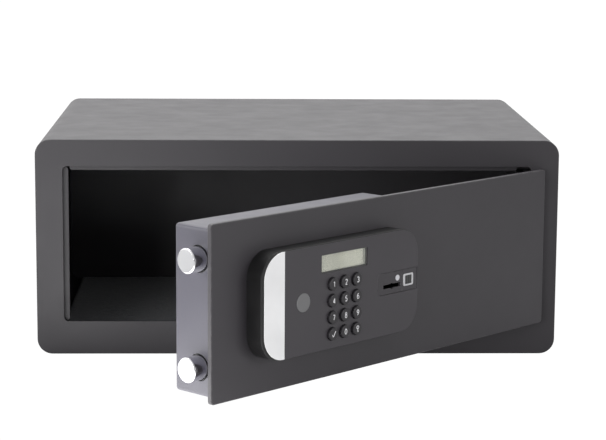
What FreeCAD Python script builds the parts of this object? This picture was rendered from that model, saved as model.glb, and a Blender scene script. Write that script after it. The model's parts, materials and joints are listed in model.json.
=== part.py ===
import FreeCAD, Part
import math
import os

# In-room safe. Millimetres, +X right, +Y to the back, +Z up, origin at the
# centre of the cabinet's base. Everything on the door is drawn with the door
# shut, as (x, depth, z) with depth counted backward from the cabinet's front,
# and is then turned open about the hinge line.

# cabinet
CABINET_WIDTH = 480.0
CABINET_DEPTH = 350.0
CABINET_HEIGHT = 200.0
CABINET_CORNER_R = 14.0
WRAP_WALL = 2.5
FRAME_THICK = 3.0
REAR_THICK = 2.5
EDGE_BREAK = 0.6

# mouth of the cabinet
MOUTH_SIDE_STRIP = 25.0
MOUTH_TOP_STRIP = 24.5
MOUTH_BOTTOM_STRIP = 30.8
MOUTH_CORNER_R = 4.0

# fixing holes
FIXING_HOLE_R = 5.0
FIXING_SPACING_X = 200.0
FIXING_SPACING_Y = 180.0
REAR_HOLE_Z = 50.0
MAT_HOLE_CLEAR = 4.0
MAT_THICK = 3.0
MAT_SIDE_GAP = 1.0
MAT_END_GAP = 1.5

# door leaf
DOOR_OPEN_DEG = 45.0
DOOR_THICK = 4.0
DOOR_FREE_GAP = 1.0
DOOR_HINGE_GAP = 3.5
DOOR_TOP_GAP = 0.9
DOOR_BOTTOM_GAP = 1.0
DOOR_CORNER_R = 3.0

# door stops behind the mouth
STOP_GAP = 0.5
STOP_THICK = 2.5
STOP_SIDE_REACH = 5.0
STOP_TOP_REACH = 4.0
STOP_END_GAP = 1.2
STOP_END_R = 2.5
STOP_OVERLAP = 9.0
STOP_SPACER = 2.5
STOP_HINGE_NOTCH = 13.0
KEEPER_WIDTH = 24.0
KEEPER_HEIGHT = 126.0
KEEPER_INSET = 3.0

# hinge line and gooseneck arms
HINGE_INSET = 10.0
HINGE_DEPTH = 13.5
PIN_R = 3.0
PIN_HEAD_LIP = 1.4
PIN_HEAD_THICK = 1.2
PIN_RUN = 0.05
ARM_EYE_WALL = 2.4
ARM_INNER_R = 21.0
ARM_WIDTH = 7.0
ARM_THICK = 5.0
ARM_END_DEG = 97.0
ARM_FOOT_LENGTH = 30.0
ARM_FOOT_THICK = 3.0
ARM_FOOT_HEIGHT = 16.0
ARM_DROP = 5.1
BRACKET_THICK = 3.0
BRACKET_HALF = 8.0
BRACKET_WEB = 1.4
BRACKET_SHY = 0.3

# lock housing behind the leaf
HOUSING_LEFT_SHY = 6.0
HOUSING_WIDTH = 221.0
HOUSING_BACK = 47.5
HOUSING_BOTTOM_SHY = 3.3
HOUSING_TOP_SHY = 4.6
HOUSING_WALL = 1.5
HOUSING_BEND_R = 3.0
POST_R = 4.0
POST_INSET_LEFT = 28.0
POST_INSET_RIGHT = 9.0
POST_INSET_Z = 7.0
HOUSING_SCREW_R = 1.9
HOUSING_SCREW_HEAD_R = 3.6
HOUSING_SCREW_HEAD = 2.2
HOUSING_SCREW_LENGTH = 9.0

# bolts
BOLT_R = 10.0
BOLT_LENGTH = 50.0
BOLT_THROW = 13.5
BOLT_STAND = 0.5
BOLT_DEPTH = 20.0
BOLT_DROP = 1.8
BOLT_PITCH = 86.4
BOLT_EDGE = 0.8
BOLT_HOLE_GAP = 1.0
BOLT_RUN = 0.05
GUIDE_LENGTH = 20.0
GUIDE_WALL = 3.5
BAR_THICK = 4.0
BAR_DEPTH = 16.0
BAR_OVERHANG = 8.0
BOLT_SCREW_R = 2.5
BOLT_SCREW_HEAD_R = 4.4
BOLT_SCREW_HEAD = 3.0
BOLT_SCREW_LENGTH = 14.0

# rack and pinion
GEAR_MODULE = 1.0
PINION_TEETH = 16
PRESSURE_DEG = 20.0
TOOTH_ADDENDUM = 0.85
TOOTH_DEDENDUM = 1.2
TOOTH_PLAY = 0.16
GEAR_WIDTH = 6.0
PINION_ACROSS = 72.0
PINION_SHAFT_R = 2.5
PINION_SHAFT_REACH = 5.0
RACK_BACK = 6.0
RACK_LENGTH = 54.0
RACK_TEETH = 12
RACK_LEAD = 3
FLANK_STEPS = 6

# drive, boards and batteries inside the housing
GEARBOX_SIZE = 24.0
GEARBOX_DEPTH = 13.0
GEARBOX_GAP = 1.0
MOTOR_R = 7.8
MOTOR_LENGTH = 30.0
MOTOR_FLAT_CUT = 1.56
CHASSIS_THICK = 2.0
CHASSIS_DEPTH = 13.0
CHASSIS_ACROSS = 59.0
CHASSIS_WIDTH = 99.0
CHASSIS_DROP = 10.0
CHASSIS_HEIGHT = 78.0
STANDOFF_R = 3.0
STANDOFF_INSET = 6.0
STANDOFF_INSET_LEFT = 9.0
PILLAR_INSET = 6.0
PILLAR_INSET_RIGHT = 7.5
PILLAR_DROP = 10.5
PILLAR_OVER_CABLE = 12.0
BOARD_THICK = 1.6
BOARD_DEPTH = 27.0
BOARD_ACROSS = 92.0
BOARD_WIDTH = 70.0
BOARD_DROP = 14.0
BOARD_HEIGHT = 60.0
BOARD_MARGIN = 4.0
CHIP_SIZE = 12.0
CHIP_THICK = 1.6
RELAY_THICK = 8.0
SOCKET_THICK = 6.0
CAPACITOR_R = 4.0
CAPACITOR_LENGTH = 9.0
CELL_R = 7.1
CELL_LENGTH = 49.5
CELL_GAP = 0.8
CELL_ACROSS = 118.0
CELL_RISE = 17.4
CELL_FRONT_DEPTH = 19.5
TRAY_WALL = 1.5
TRAY_CLEAR = 0.4
CELL_NUB_R = 2.6
CELL_NUB = 1.0

# battery cover
COVER_OVERLAP = 2.0
COVER_THICK = 1.8
COVER_RUN = 0.3
COVER_TRAVEL = 54.0
RAIL_WIDTH = 2.6
RAIL_LIP = 1.6
RAIL_LIP_THICK = 1.0
COVER_RIBS = 5
COVER_RIB = 0.8

# reset button
RESET_ACROSS = 188.0
RESET_DROP = 28.0
RESET_R = 3.0
RESET_PROUD = 1.8
RESET_FLANGE_LIP = 1.6
RESET_FLANGE = 1.2
RESET_CLEAR = 0.1

# keypad unit on the leaf
UNIT_ACROSS = 38.3
UNIT_WIDTH = 187.8
UNIT_DROP = 43.0
UNIT_HEIGHT = 87.8
UNIT_PROUD = 17.0
UNIT_CORNER_R = 22.0
UNIT_WALL = 1.2
UNIT_BACK = 2.5
UNIT_EDGE = 0.6
RIM_LEFT = 3.0
RIM = 0.6
FACE_PROUD = 0.6
FACE_THICK = 2.2
TRIM_WIDTH = 22.9
TRIM_SEAM = 0.15

# keys, measured as all that follows on the unit from its left and bottom edges
KEY_COLUMNS = 3
KEY_ROWS = 4
KEY_PITCH_X = 14.4
KEY_PITCH_Z = 13.75
KEY_ACROSS = 80.7
KEY_UP = 53.8
KEY_R = 5.2
KEY_HOLE_GAP = 0.35
KEY_PROUD = 2.5
KEY_EDGE = 0.6
KEY_FLANGE_LIP = 1.1
KEY_FLANGE = 1.0
KEY_FLANGE_GAP = 0.3
KEY_TRAVEL = 1.0
MAT_SHEET_THICK = 1.2

# display, badge
LCD_ACROSS = 95.9
LCD_UP = 71.1
LCD_WIDTH = 55.4
LCD_HEIGHT = 15.0
LCD_WINDOW_THICK = 1.0
LCD_WINDOW_SHY = 1.2
LCD_FIT = 0.1
BADGE_ACROSS = 47.0
BADGE_UP = 43.3
BADGE_R = 7.7
BADGE_THICK = 1.0
BADGE_PROUD = 0.4
BADGE_EDGE = 0.25

# reader panel with keyhole, lamp and fingerprint sensor
PANEL_ACROSS = 136.3
PANEL_END = 1.2
PANEL_UP = 35.1
PANEL_HEIGHT = 18.4
PANEL_CORNER_R = 3.5
PANEL_THICK = 1.6
PANEL_SHY = 0.2
PANEL_FIT = 0.15
PANEL_SEAM = 1.25
KEYHOLE_ACROSS = 154.4
KEYHOLE_UP = 41.7
KEYHOLE_LENGTH = 21.6
KEYHOLE_HEIGHT = 3.5
KEYHOLE_EYE_R = 2.5
LAMP_ACROSS = 161.6
LAMP_UP = 47.6
LAMP_R = 2.5
LAMP_PROUD = 0.3
SENSOR_ACROSS = 175.2
SENSOR_UP = 44.4
SENSOR_WIDTH = 12.6
SENSOR_HEIGHT = 10.4
SENSOR_SIDE = 2.0
SENSOR_TOP = 1.5
SENSOR_PROUD = 0.5
SENSOR_CORNER_R = 1.4

# override lock
LOCK_R = 14.0
LOCK_FRONT_GAP = 0.4
LOCK_BACK = 26.0
LOCK_WALL = 2.5
PLUG_RUN = 0.05
PLUG_SLOT_DEPTH = 14.0
KEYWAY_PLAY = 0.2
CAM_REACH = 18.0
CAM_WIDTH = 8.0
CAM_THICK = 3.0
CAM_GAP = 0.3

# cable and keypad screws
RIBBON_WIDTH = 12.0
RIBBON_THICK = 0.8
RIBBON_ACROSS = 91.7
RIBBON_UP = 58.8
CABLE_SLOT_CLEAR = 2.0
KEYPAD_SCREW_R = 2.0
KEYPAD_SCREW_HEAD_R = 3.8
KEYPAD_SCREW_HEAD = 2.0
KEYPAD_SCREW_UP = 51.8
KEYPAD_NUT = 1.5

FRONT_Y = -CABINET_DEPTH / 2.0
SIDE_X = CABINET_WIDTH / 2.0
MOUTH_LEFT = -SIDE_X + MOUTH_SIDE_STRIP
MOUTH_RIGHT = SIDE_X - MOUTH_SIDE_STRIP
MOUTH_TOP = CABINET_HEIGHT - MOUTH_TOP_STRIP
MOUTH_BOTTOM = MOUTH_BOTTOM_STRIP
DOOR_LEFT = MOUTH_LEFT + DOOR_FREE_GAP
DOOR_RIGHT = MOUTH_RIGHT - DOOR_HINGE_GAP
DOOR_TOP = MOUTH_TOP - DOOR_TOP_GAP
DOOR_BOTTOM = MOUTH_BOTTOM + DOOR_BOTTOM_GAP
HINGE_X = SIDE_X - HINGE_INSET
HINGE_Y = FRONT_Y + HINGE_DEPTH
DOOR_MID_Z = (DOOR_BOTTOM + DOOR_TOP) / 2.0
MAT_HOLE_R = FIXING_HOLE_R + MAT_HOLE_CLEAR
PIN_HEAD_R = PIN_R + PIN_HEAD_LIP
ARM_EYE_R = PIN_R + ARM_EYE_WALL
HOUSING_LEFT = DOOR_LEFT + HOUSING_LEFT_SHY
HOUSING_RIGHT = HOUSING_LEFT + HOUSING_WIDTH
HOUSING_BOTTOM = DOOR_BOTTOM + HOUSING_BOTTOM_SHY
HOUSING_TOP = DOOR_TOP - HOUSING_TOP_SHY
HOUSING_INNER_BACK = HOUSING_BACK - HOUSING_WALL
BOLT_TIP = HOUSING_LEFT - BOLT_THROW - BOLT_STAND
BOLT_TAIL = BOLT_TIP + BOLT_LENGTH
BOLT_MID_Z = DOOR_MID_Z - BOLT_DROP
BOLT_HOLE_R = BOLT_R + BOLT_HOLE_GAP
GUIDE_HALF = BOLT_R + GUIDE_WALL
MOTOR_FLAT = MOTOR_R - MOTOR_FLAT_CUT
CELL_PITCH = 2 * CELL_R + CELL_GAP
CHASSIS_LEFT = HOUSING_LEFT + CHASSIS_ACROSS
CHASSIS_RIGHT = CHASSIS_LEFT + CHASSIS_WIDTH
CHASSIS_TOP = HOUSING_TOP - CHASSIS_DROP
CHASSIS_BOTTOM = CHASSIS_TOP - CHASSIS_HEIGHT
BOARD_LEFT = HOUSING_LEFT + BOARD_ACROSS
BOARD_RIGHT = BOARD_LEFT + BOARD_WIDTH
BOARD_TOP = HOUSING_TOP - BOARD_DROP
BOARD_BOTTOM = BOARD_TOP - BOARD_HEIGHT
CELL_X = HOUSING_LEFT + CELL_ACROSS
CELL_BOTTOM_Z = HOUSING_BOTTOM + CELL_RISE
RESET_X = HOUSING_LEFT + RESET_ACROSS
RESET_Z = HOUSING_TOP - RESET_DROP
RESET_FLANGE_R = RESET_R + RESET_FLANGE_LIP
UNIT_LEFT = DOOR_LEFT + UNIT_ACROSS
UNIT_RIGHT = UNIT_LEFT + UNIT_WIDTH
UNIT_BOTTOM = DOOR_MID_Z - UNIT_DROP
UNIT_TOP = UNIT_BOTTOM + UNIT_HEIGHT
FACE_LEFT = UNIT_LEFT + RIM_LEFT
FACE_RIGHT = UNIT_RIGHT - RIM
FACE_BOTTOM = UNIT_BOTTOM + RIM
FACE_TOP = UNIT_TOP - RIM
FACE_BACK = -UNIT_PROUD + FACE_THICK
FACE_CORNER_R = UNIT_CORNER_R - RIM
TRIM_RIGHT = FACE_LEFT + TRIM_WIDTH
KEY_LEFT_X = UNIT_LEFT + KEY_ACROSS
KEY_TOP_Z = UNIT_BOTTOM + KEY_UP
KEY_HOLE_R = KEY_R + KEY_HOLE_GAP
KEY_FLANGE_R = KEY_R + KEY_FLANGE_LIP
LCD_X = UNIT_LEFT + LCD_ACROSS
LCD_Z = UNIT_BOTTOM + LCD_UP
BADGE_X = UNIT_LEFT + BADGE_ACROSS
BADGE_Z = UNIT_BOTTOM + BADGE_UP
PANEL_LEFT = UNIT_LEFT + PANEL_ACROSS
PANEL_RIGHT = UNIT_RIGHT - PANEL_END
PANEL_BOTTOM = UNIT_BOTTOM + PANEL_UP
PANEL_TOP = PANEL_BOTTOM + PANEL_HEIGHT
KEYHOLE_X = UNIT_LEFT + KEYHOLE_ACROSS
KEYHOLE_Z = UNIT_BOTTOM + KEYHOLE_UP
PLUG_R = LOCK_R - LOCK_WALL
LAMP_X = UNIT_LEFT + LAMP_ACROSS
LAMP_Z = UNIT_BOTTOM + LAMP_UP
SENSOR_X = UNIT_LEFT + SENSOR_ACROSS
SENSOR_Z = UNIT_BOTTOM + SENSOR_UP
RIBBON_X = UNIT_LEFT + RIBBON_ACROSS
RIBBON_Z = UNIT_BOTTOM + RIBBON_UP
KEYPAD_SCREW_Z = UNIT_BOTTOM + KEYPAD_SCREW_UP
PINION_R = GEAR_MODULE * PINION_TEETH / 2.0
PINION_X = HOUSING_LEFT + PINION_ACROSS
PINION_Z = BOLT_MID_Z - PINION_R
STOP_FRONT = DOOR_THICK + STOP_GAP
STOP_BACK = STOP_FRONT + STOP_THICK

UP = FreeCAD.Vector(0, 0, 1)
BACKWARD = FreeCAD.Vector(0, 1, 0)
RIGHTWARD = FreeCAD.Vector(1, 0, 0)


def block(x0, x1, depth0, depth1, z0, z1):
    corner = FreeCAD.Vector(x0, FRONT_Y + depth0, z0)
    return Part.makeBox(x1 - x0, depth1 - depth0, z1 - z0, corner)


def rod(radius, x, z, depth0, depth1):
    base = FreeCAD.Vector(x, FRONT_Y + depth0, z)
    return Part.makeCylinder(radius, depth1 - depth0, base, BACKWARD)


def cross_rod(radius, depth, z, x0, x1):
    base = FreeCAD.Vector(x0, FRONT_Y + depth, z)
    return Part.makeCylinder(radius, x1 - x0, base, RIGHTWARD)


def post(radius, x, y, z0, z1):
    base = FreeCAD.Vector(x, y, z0)
    return Part.makeCylinder(radius, z1 - z0, base, UP)


def edges_along(shape, direction):
    found = []
    for edge in shape.Edges:
        if len(edge.Vertexes) != 2:
            continue
        run = edge.Vertexes[1].Point - edge.Vertexes[0].Point
        if abs(abs(run.normalize().dot(direction)) - 1) < 1e-6:
            found.append(edge)
    return found


def rounded_block(x0, x1, depth0, depth1, z0, z1, radius):
    plain = block(x0, x1, depth0, depth1, z0, z1)
    return plain.makeFillet(radius, edges_along(plain, BACKWARD))


def edges_at_depth(shape, depth):
    y = FRONT_Y + depth
    found = []
    for edge in shape.Edges:
        box = edge.BoundBox
        if abs(box.YMin - y) < 1e-6 and abs(box.YMax - y) < 1e-6:
            found.append(edge)
    return found


def break_front(shape, depth, size):
    return shape.makeChamfer(size, edges_at_depth(shape, depth))


def group(solids):
    return Part.makeCompound(solids)


def hinged(shape):
    turned = shape.copy()
    turned.rotate(FreeCAD.Vector(HINGE_X, HINGE_Y, 0), UP, DOOR_OPEN_DEG)
    return turned


def export(name, shape):
    shape.exportStep("parts/" + name + ".step")


def corners(x, z):
    return [(sx * x, sz * z) for sx in (-1, 1) for sz in (-1, 1)]


# cabinet pieces

def cabinet_section(inset, depth0, depth1):
    return rounded_block(
        -SIDE_X + inset, SIDE_X - inset, depth0, depth1,
        inset, CABINET_HEIGHT - inset, CABINET_CORNER_R - inset)


def cabinet_wrap():
    depth1 = CABINET_DEPTH - REAR_THICK
    shape = cabinet_section(0, FRAME_THICK, depth1)
    shape = shape.cut(cabinet_section(WRAP_WALL, FRAME_THICK, depth1))
    for x, y in corners(FIXING_SPACING_X / 2, FIXING_SPACING_Y / 2):
        shape = shape.cut(post(FIXING_HOLE_R, x, y, 0, WRAP_WALL))
    return shape


def front_frame():
    shape = cabinet_section(0, 0, FRAME_THICK)
    shape = break_front(shape, 0, EDGE_BREAK)
    mouth = rounded_block(
        MOUTH_LEFT, MOUTH_RIGHT, 0, FRAME_THICK, MOUTH_BOTTOM, MOUTH_TOP, MOUTH_CORNER_R)
    return shape.cut(mouth)


def rear_panel():
    depth0 = CABINET_DEPTH - REAR_THICK
    shape = cabinet_section(0, depth0, CABINET_DEPTH)
    for side in (-1, 1):
        x = side * FIXING_SPACING_X / 2
        shape = shape.cut(rod(FIXING_HOLE_R, x, REAR_HOLE_Z, depth0, CABINET_DEPTH))
    return shape


def stop_outer_x():
    return MOUTH_LEFT - STOP_OVERLAP


def stop_outer_z():
    return MOUTH_TOP + STOP_OVERLAP


def side_stop():
    x0 = stop_outer_x()
    x1 = MOUTH_LEFT + STOP_SIDE_REACH
    z1 = MOUTH_TOP - STOP_END_GAP
    strip = rounded_block(x0, x1, STOP_FRONT, STOP_BACK, MOUTH_BOTTOM, z1, STOP_END_R)
    leg = block(x0, x0 + STOP_SPACER, FRAME_THICK, STOP_BACK, MOUTH_BOTTOM + STOP_END_R, z1 - STOP_END_R)
    return strip.fuse(leg).removeSplitter()


def top_stop():
    x0 = MOUTH_LEFT + STOP_SIDE_REACH + STOP_END_GAP
    x1 = MOUTH_RIGHT - STOP_HINGE_NOTCH
    z0 = MOUTH_TOP - STOP_TOP_REACH
    z1 = stop_outer_z()
    strip = rounded_block(x0, x1, STOP_FRONT, STOP_BACK, z0, z1, STOP_END_R)
    leg = block(x0 + STOP_END_R, x1 - STOP_END_R, FRAME_THICK, STOP_BACK, z1 - STOP_SPACER, z1)
    return strip.fuse(leg).removeSplitter()


def bolt_keeper():
    x0 = -SIDE_X + WRAP_WALL + KEEPER_INSET - STOP_SPACER
    z0 = BOLT_MID_Z - KEEPER_HEIGHT / 2
    return rounded_block(
        x0, x0 + KEEPER_WIDTH, STOP_BACK, STOP_BACK + STOP_THICK,
        z0, z0 + KEEPER_HEIGHT, EDGE_BREAK)


def floor_mat():
    half = SIDE_X - CABINET_CORNER_R - MAT_SIDE_GAP
    shape = block(
        -half, half, STOP_BACK, CABINET_DEPTH - REAR_THICK - MAT_END_GAP,
        WRAP_WALL, WRAP_WALL + MAT_THICK)
    for x, y in corners(FIXING_SPACING_X / 2, FIXING_SPACING_Y / 2):
        shape = shape.cut(post(MAT_HOLE_R, x, y, WRAP_WALL, WRAP_WALL + MAT_THICK))
    return shape


# hinge

def upper_arm_base():
    return DOOR_TOP - ARM_DROP - ARM_THICK


def lower_arm_base():
    return DOOR_BOTTOM + ARM_DROP


def hinge_bracket(arm_z):
    low = arm_z - BRACKET_SHY - BRACKET_THICK
    high = arm_z + ARM_THICK + BRACKET_SHY
    wall_x = SIDE_X - WRAP_WALL
    y0 = HINGE_DEPTH - BRACKET_HALF
    y1 = HINGE_DEPTH + BRACKET_HALF
    x0 = HINGE_X - BRACKET_HALF
    web = block(wall_x - BRACKET_WEB, wall_x, y0, y1, low, high + BRACKET_THICK)
    shape = web
    for z in (low, high):
        ear = rounded_block(x0, wall_x, y0, y1, z, z + BRACKET_THICK, EDGE_BREAK)
        shape = shape.fuse(ear)
    hole = post(PIN_R, HINGE_X, HINGE_Y, low, high + BRACKET_THICK)
    return shape.removeSplitter().cut(hole)


def hinge_pin(arm_z):
    low = arm_z - BRACKET_SHY - BRACKET_THICK
    high = arm_z + ARM_THICK + BRACKET_SHY + BRACKET_THICK
    shank = post(PIN_R, HINGE_X, HINGE_Y, low, high)
    head = post(PIN_HEAD_R, HINGE_X, HINGE_Y, high, high + PIN_HEAD_THICK)
    return shank.fuse(head).removeSplitter()


def hinge_pins():
    return group([hinge_pin(upper_arm_base()), hinge_pin(lower_arm_base())])


def hinge_arm(arm_z):
    outer_r = ARM_INNER_R + ARM_WIDTH
    z1 = arm_z + ARM_THICK
    centre = FreeCAD.Vector(HINGE_X, HINGE_Y, arm_z)
    ring = post(outer_r, HINGE_X, HINGE_Y, arm_z, z1)
    ring = ring.cut(post(ARM_INNER_R, HINGE_X, HINGE_Y, arm_z, z1))
    sector = Part.makeCylinder(outer_r + 1, ARM_THICK, centre, UP, 180 - ARM_END_DEG)
    sector.rotate(centre, UP, ARM_END_DEG)
    lower = block(
        HINGE_X - outer_r - 1, HINGE_X - ARM_INNER_R + ARM_WIDTH,
        DOOR_THICK, HINGE_DEPTH, arm_z, z1)
    ring = ring.common(sector.fuse(lower))
    bar = Part.makeBox(
        ARM_INNER_R + ARM_WIDTH / 2, ARM_WIDTH, ARM_THICK,
        FreeCAD.Vector(HINGE_X, HINGE_Y - ARM_WIDTH / 2, arm_z))
    bar.rotate(centre, UP, ARM_END_DEG + math.degrees(ARM_WIDTH / 2 / outer_r))
    bar = bar.common(post(outer_r, HINGE_X, HINGE_Y, arm_z, z1))
    eye = post(ARM_EYE_R, HINGE_X, HINGE_Y, arm_z, z1)
    foot_x1 = HINGE_X - ARM_INNER_R
    mid_z = arm_z + ARM_THICK / 2
    into = 1 if mid_z < (DOOR_TOP + DOOR_BOTTOM) / 2 else -1
    foot_z = sorted([mid_z - into * ARM_THICK / 2, mid_z + into * ARM_FOOT_HEIGHT])
    foot = rounded_block(
        foot_x1 - ARM_FOOT_LENGTH, foot_x1, DOOR_THICK, DOOR_THICK + ARM_FOOT_THICK,
        foot_z[0], foot_z[1], EDGE_BREAK)
    shape = ring.fuse([bar, eye, foot]).removeSplitter()
    return shape.cut(post(PIN_R + PIN_RUN, HINGE_X, HINGE_Y, arm_z, z1))


# door leaf and lock housing

def door_plate():
    shape = rounded_block(
        DOOR_LEFT, DOOR_RIGHT, 0, DOOR_THICK, DOOR_BOTTOM, DOOR_TOP, DOOR_CORNER_R)
    shape = break_front(shape, 0, EDGE_BREAK)
    shape = shape.cut(rod(LOCK_R + PLUG_RUN, KEYHOLE_X, KEYHOLE_Z, 0, DOOR_THICK))
    shape = shape.cut(cable_slot(0, DOOR_THICK))
    for x in keypad_screw_columns():
        shape = shape.cut(rod(KEYPAD_SCREW_R, x, KEYPAD_SCREW_Z, 0, DOOR_THICK))
    return shape


def cable_slot(depth0, depth1):
    half = RIBBON_WIDTH / 2 + CABLE_SLOT_CLEAR
    middle = RIBBON_Z + RIBBON_THICK / 2
    tall = RIBBON_THICK / 2 + CABLE_SLOT_CLEAR
    return block(
        RIBBON_X - half, RIBBON_X + half, depth0, depth1, middle - tall, middle + tall)


def post_places():
    columns = (HOUSING_LEFT + POST_INSET_LEFT, HOUSING_RIGHT - POST_INSET_RIGHT)
    rows = (HOUSING_BOTTOM + POST_INSET_Z, HOUSING_TOP - POST_INSET_Z)
    return [(x, z) for x in columns for z in rows]


def lock_housing():
    outer = block(
        HOUSING_LEFT, HOUSING_RIGHT, DOOR_THICK, HOUSING_BACK, HOUSING_BOTTOM, HOUSING_TOP)
    rounded = edges_along(outer, BACKWARD) + edges_at_depth(outer, HOUSING_BACK)
    outer = outer.makeFillet(HOUSING_BEND_R, rounded)
    inner = block(
        HOUSING_LEFT + HOUSING_WALL, HOUSING_RIGHT - HOUSING_WALL,
        DOOR_THICK, HOUSING_INNER_BACK,
        HOUSING_BOTTOM + HOUSING_WALL, HOUSING_TOP - HOUSING_WALL)
    rounded = edges_along(inner, BACKWARD) + edges_at_depth(inner, HOUSING_INNER_BACK)
    inner = inner.makeFillet(HOUSING_BEND_R - HOUSING_WALL, rounded)
    shape = outer.cut(inner)
    for z in bolt_rows():
        shape = shape.cut(cross_rod(
            BOLT_HOLE_R, BOLT_DEPTH, z, HOUSING_LEFT, HOUSING_LEFT + HOUSING_WALL))
    for x, z in post_places():
        shape = shape.cut(rod(HOUSING_SCREW_R, x, z, HOUSING_INNER_BACK, HOUSING_BACK))
    shape = shape.cut(battery_window())
    reset = rod(RESET_R + RESET_CLEAR, RESET_X, RESET_Z, HOUSING_INNER_BACK, HOUSING_BACK)
    return shape.cut(reset)


def housing_posts():
    solids = []
    for x, z in post_places():
        stud = rod(POST_R, x, z, DOOR_THICK, HOUSING_INNER_BACK)
        bore = rod(
            HOUSING_SCREW_R, x, z, HOUSING_BACK - HOUSING_SCREW_LENGTH, HOUSING_INNER_BACK)
        solids.append(stud.cut(bore))
    return group(solids)


def cross_recess(x, z, depth0, depth1, reach):
    thin = reach / 4
    wide = block(x - reach, x + reach, depth0, depth1, z - thin, z + thin)
    tall = block(x - thin, x + thin, depth0, depth1, z - reach, z + reach)
    return wide.fuse(tall)


def housing_screws():
    solids = []
    top = HOUSING_BACK + HOUSING_SCREW_HEAD
    for x, z in post_places():
        head = rod(HOUSING_SCREW_HEAD_R, x, z, HOUSING_BACK, top)
        head = head.makeFillet(HOUSING_SCREW_HEAD / 3, edges_at_depth(head, top))
        shank = rod(
            HOUSING_SCREW_R, x, z, HOUSING_BACK - HOUSING_SCREW_LENGTH, HOUSING_BACK)
        screw = head.fuse(shank).removeSplitter()
        recess = cross_recess(
            x, z, top - HOUSING_SCREW_HEAD / 2, top, HOUSING_SCREW_HEAD_R / 2)
        solids.append(screw.cut(recess))
    return group(solids)


# bolts and their guides

def bolt_rows():
    return (BOLT_MID_Z - BOLT_PITCH / 2, BOLT_MID_Z + BOLT_PITCH / 2)


def bolt_guides():
    x0 = HOUSING_LEFT + HOUSING_WALL
    solids = []
    for z in bolt_rows():
        shape = block(
            x0, x0 + GUIDE_LENGTH, BOLT_DEPTH - GUIDE_HALF, BOLT_DEPTH + GUIDE_HALF,
            z - GUIDE_HALF, z + GUIDE_HALF)
        bore = cross_rod(BOLT_R + BOLT_RUN, BOLT_DEPTH, z, x0, x0 + GUIDE_LENGTH)
        solids.append(shape.cut(bore))
    return group(solids)


def lock_bolt(z):
    shape = cross_rod(BOLT_R, BOLT_DEPTH, z, BOLT_TIP, BOLT_TAIL)
    tips = [e for e in shape.Edges if abs(e.BoundBox.XMax - BOLT_TIP) < 1e-6]
    shape = shape.makeChamfer(BOLT_EDGE, tips)
    socket = cross_rod(
        BOLT_SCREW_R, BOLT_DEPTH, z, BOLT_TAIL + BAR_THICK - BOLT_SCREW_LENGTH, BOLT_TAIL)
    return shape.cut(socket)


def rack_profile():
    half_pitch = math.pi * GEAR_MODULE / 2
    slope = math.tan(math.radians(PRESSURE_DEG))
    pitch_line = PINION_Z + PINION_R
    root = pitch_line + TOOTH_DEDENDUM
    tip = pitch_line - TOOTH_ADDENDUM
    half_tooth = half_pitch / 2 - TOOTH_PLAY / 2
    half_root = half_tooth + TOOTH_DEDENDUM * slope
    half_tip = half_tooth - TOOTH_ADDENDUM * slope
    points = []
    for number in range(RACK_TEETH):
        middle = PINION_X + (RACK_LEAD - 2 * number) * half_pitch
        points.append((middle + half_root, root))
        points.append((middle + half_tip, tip))
        points.append((middle - half_tip, tip))
        points.append((middle - half_root, root))
    return points, root


def extruded_at_depth(points, depth0, depth1):
    corners_3d = [FreeCAD.Vector(x, FRONT_Y + depth0, z) for x, z in points]
    face = Part.Face(Part.makePolygon(corners_3d + [corners_3d[0]]))
    return face.extrude(BACKWARD * (depth1 - depth0))


def bolt_bar():
    z0 = BOLT_MID_Z - BOLT_PITCH / 2 - BAR_OVERHANG
    z1 = BOLT_MID_Z + BOLT_PITCH / 2 + BAR_OVERHANG
    bar = block(
        BOLT_TAIL, BOLT_TAIL + BAR_THICK,
        BOLT_DEPTH - BAR_DEPTH / 2, BOLT_DEPTH + BAR_DEPTH / 2, z0, z1)
    points, root = rack_profile()
    x1 = BOLT_TAIL + BAR_THICK + RACK_LENGTH
    x0 = BOLT_TAIL + BAR_THICK
    outline = [(x1, root)]
    outline += [p for p in points if x0 < p[0] < x1]
    outline += [(x0, root), (x0, root + RACK_BACK), (x1, root + RACK_BACK)]
    rack = extruded_at_depth(
        outline, BOLT_DEPTH - GEAR_WIDTH / 2, BOLT_DEPTH + GEAR_WIDTH / 2)
    shape = bar.fuse(rack).removeSplitter()
    for z in bolt_rows():
        shape = shape.cut(cross_rod(
            BOLT_SCREW_R, BOLT_DEPTH, z, BOLT_TAIL, BOLT_TAIL + BAR_THICK))
    return shape


def bolt_screws():
    x1 = BOLT_TAIL + BAR_THICK
    solids = []
    for z in bolt_rows():
        shank = cross_rod(BOLT_SCREW_R, BOLT_DEPTH, z, x1 - BOLT_SCREW_LENGTH, x1)
        head = cross_rod(BOLT_SCREW_HEAD_R, BOLT_DEPTH, z, x1, x1 + BOLT_SCREW_HEAD)
        solids.append(shank.fuse(head).removeSplitter())
    return group(solids)


def pinion_profile():
    base_r = PINION_R * math.cos(math.radians(PRESSURE_DEG))
    root_r = PINION_R - TOOTH_DEDENDUM * GEAR_MODULE
    tip_r = PINION_R + TOOTH_ADDENDUM * GEAR_MODULE
    lowest = max(base_r, root_r)
    at_pitch = involute(math.acos(base_r / PINION_R))
    half_tooth = (math.pi / 2 - TOOTH_PLAY / GEAR_MODULE) / PINION_TEETH
    flank = []
    for step in range(FLANK_STEPS + 1):
        radius = lowest + (tip_r - lowest) * step / FLANK_STEPS
        angle = half_tooth + at_pitch - involute(math.acos(min(1.0, base_r / radius)))
        flank.append((radius, angle))
    flank.insert(0, (root_r, flank[0][1]))
    points = []
    for tooth in range(PINION_TEETH):
        middle = 2 * math.pi * tooth / PINION_TEETH
        for radius, angle in flank:
            points.append((radius, middle - angle))
        for radius, angle in reversed(flank):
            points.append((radius, middle + angle))
    return [(PINION_X + r * math.sin(a), PINION_Z + r * math.cos(a)) for r, a in points]


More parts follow.
